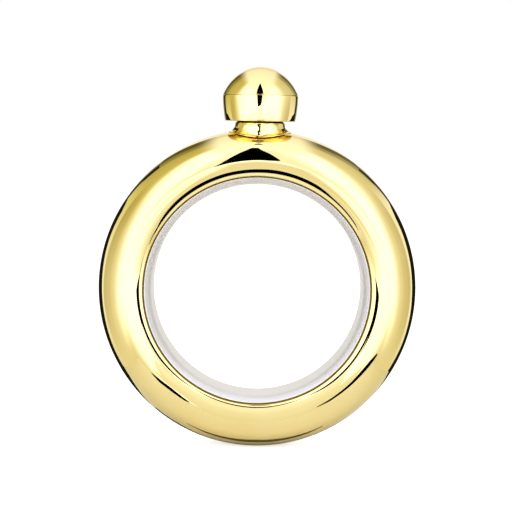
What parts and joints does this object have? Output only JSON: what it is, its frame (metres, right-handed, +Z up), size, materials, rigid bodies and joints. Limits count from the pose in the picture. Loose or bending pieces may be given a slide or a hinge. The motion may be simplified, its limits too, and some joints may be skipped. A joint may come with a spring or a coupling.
{
  "type": "bangle flask",
  "caption": "Hollow ring flask worn on the wrist as a bangle: polished gold-tone shells, bare steel inner band, short neck and a domed screw cap.",
  "frame": {"origin": "lowest point of the ring, straight below its centre", "axes": "+Z up through the neck and the cap, Y along the ring's axis with the front at -Y, +X to the right seen from the front"},
  "size_m": [0.105, 0.028, 0.1255],
  "materials": {
    "gold_plate": "polished",
    "bare_steel": "satin",
    "insert_plastic": "satin",
    "liner_rubber": "matte"
  },
  "bodies": {
    "flask": {"front_shell": "gold_plate", "rear_shell": "gold_plate", "inner_band": "bare_steel", "neck": "gold_plate", "neck_collar": "gold_plate"},
    "liner": {"cap_liner": "liner_rubber"},
    "cap": {"cap_dome": "gold_plate", "cap_skirt": "gold_plate", "cap_insert": "insert_plastic"}
  },
  "joints": [
    {"name": "cap_lift", "type": "slide", "parent": "flask", "child": "liner", "axis": [0, 0, 1], "range_m": [0, 0.0091]},
    {"name": "cap_turn", "type": "hinge", "parent": "liner", "child": "cap", "pos_m": [0, 0, 0.1161], "axis": [0, 0, 1], "range_deg": [0, 1080]}
  ],
  "couplings": [
    {"joint": "cap_lift", "follows": "cap_turn", "m_per_rad": 0.00047746}
  ]
}
